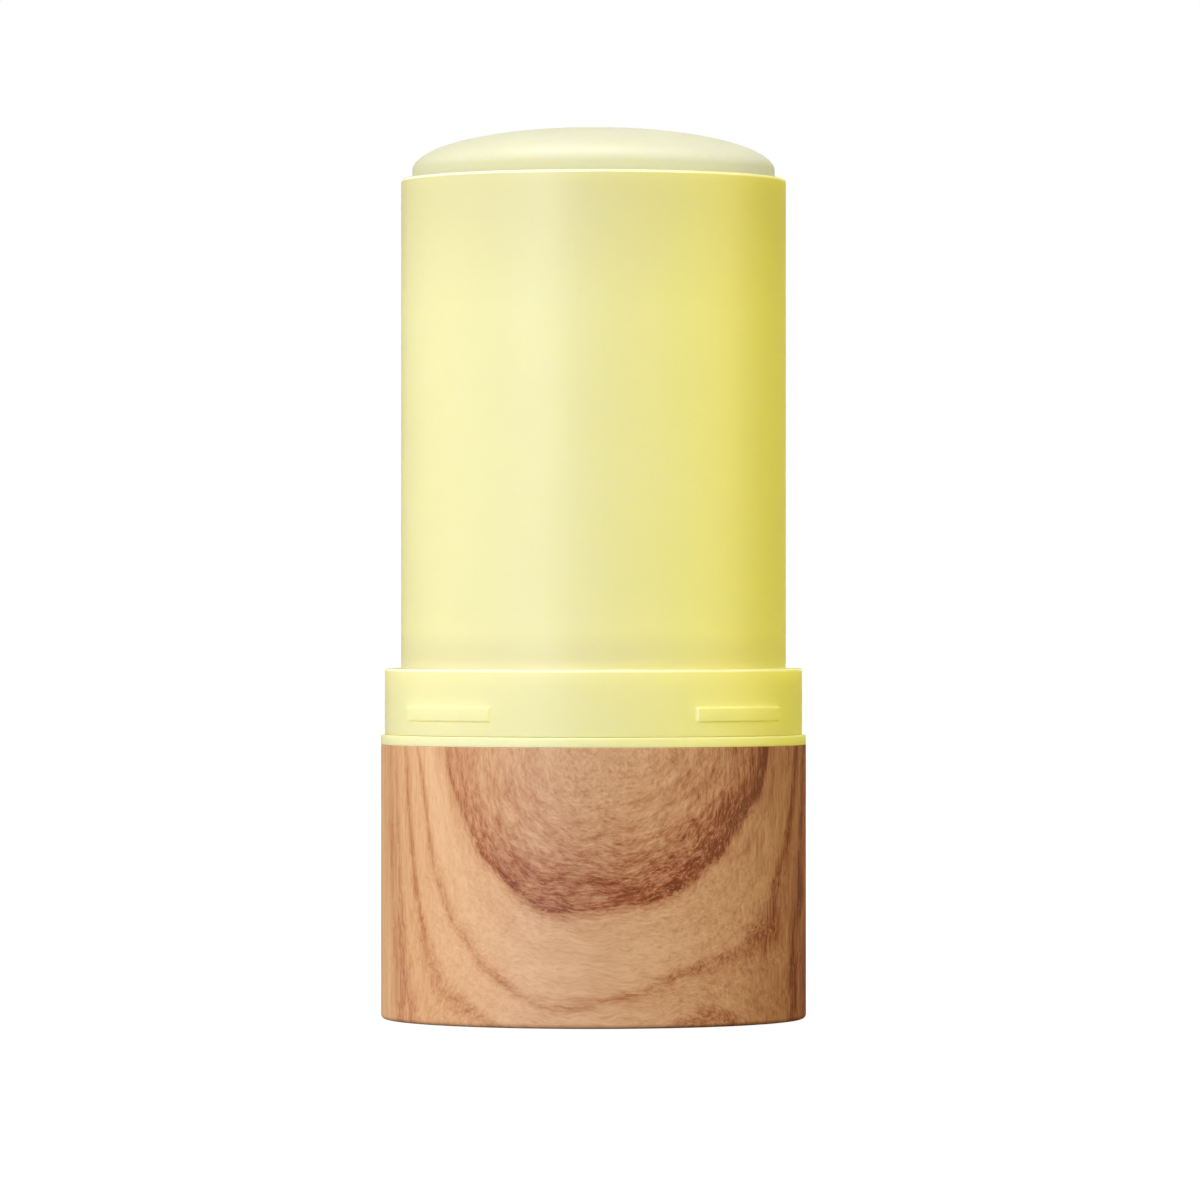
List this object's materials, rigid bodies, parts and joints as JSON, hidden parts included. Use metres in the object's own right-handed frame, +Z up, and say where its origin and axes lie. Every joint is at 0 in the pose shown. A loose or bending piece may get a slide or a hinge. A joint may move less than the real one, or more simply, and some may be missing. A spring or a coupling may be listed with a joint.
{
  "type": "twist-up sunscreen stick",
  "caption": "Round twist-up sunscreen stick: domed balm in a yellow plastic barrel with a beaded collar, raised by turning a wooden base.",
  "frame": {"origin": "middle of the base's underside", "axes": "+Z up along the stick's axis, -Y towards the viewer of the picture, +X to the viewer's right"},
  "size_m": [0.034, 0.034, 0.0712],
  "materials": {
    "wood": "satin varnish, grain seen",
    "lip_plastic": "satin",
    "white_plastic": "satin",
    "barrel_plastic": "frosted satin, slightly translucent",
    "sunscreen": "smooth wax, translucent"
  },
  "bodies": {
    "turning_base": {"wood_base": "wood", "base_core": "lip_plastic", "lead_screw": "white_plastic"},
    "barrel_body": {"barrel": "barrel_plastic"},
    "stick_body": {"elevator": "white_plastic", "sunscreen_stick": "sunscreen"}
  },
  "joints": [
    {"name": "barrel_turn", "type": "hinge", "parent": "turning_base", "child": "barrel_body", "pos_m": [0, 0, 0.0245], "axis": [0, 0, -1], "range_deg": [-338, 2001]},
    {"name": "stick_rise", "type": "slide", "parent": "barrel_body", "child": "stick_body", "axis": [0, 0, 1], "range_m": [-0.0047, 0.0278]}
  ],
  "couplings": [
    {"joint": "stick_rise", "follows": "barrel_turn", "m_per_rad": 0.00079577}
  ]
}
